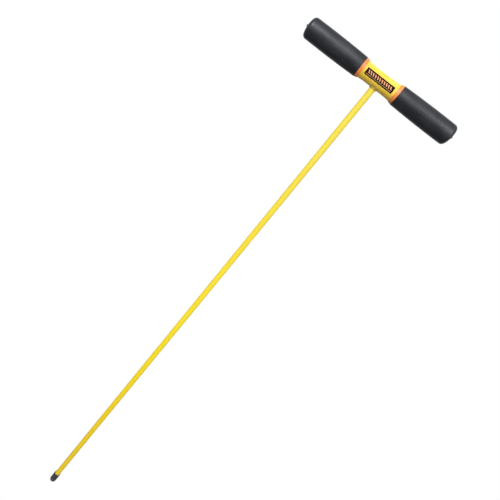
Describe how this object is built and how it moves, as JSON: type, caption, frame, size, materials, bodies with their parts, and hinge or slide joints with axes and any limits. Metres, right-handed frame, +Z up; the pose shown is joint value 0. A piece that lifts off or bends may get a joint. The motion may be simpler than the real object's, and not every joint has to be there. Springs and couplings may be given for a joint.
{
  "type": "soil probe",
  "caption": "T-handle soil probe: a long slim fibreglass rod with a round-nosed steel tip, set in a moulded hub between cushion grips, for feeling what lies under the ground.",
  "frame": {"origin": "lowest point of the tip's round nose, on the rod's axis", "axes": "+Z up along the rod from tip to handle, +X along the handle, -Y the side with the label"},
  "size_m": [0.3404, 0.0418, 1.2559],
  "materials": {
    "rod_fibreglass": "yellow pigmented pultruded fibreglass, satin gloss",
    "tip_steel": "dark oxide turned steel, scuffed",
    "hub_moulding": "yellow moulded polymer, satin",
    "collar_moulding": "orange moulded polymer, satin",
    "grip_rubber": "black cushion rubber, satin",
    "label_film": "black printed film",
    "core_fibreglass": "natural fibreglass",
    "adhesive": "cured amber adhesive",
    "plug_plastic": "grey moulded plastic"
  },
  "bodies": {
    "root": {"probe_rod": "rod_fibreglass", "probe_tip": "tip_steel", "tip_bond": "adhesive", "crossbar": "core_fibreglass", "rod_pin": "core_fibreglass", "t_hub": "hub_moulding", "rod_bond": "adhesive", "label": "label_film", "collar_left": "collar_moulding", "collar_right": "collar_moulding", "grip_left": "grip_rubber", "grip_right": "grip_rubber", "bar_plug_left": "plug_plastic", "bar_plug_right": "plug_plastic"}
  },
  "joints": []
}
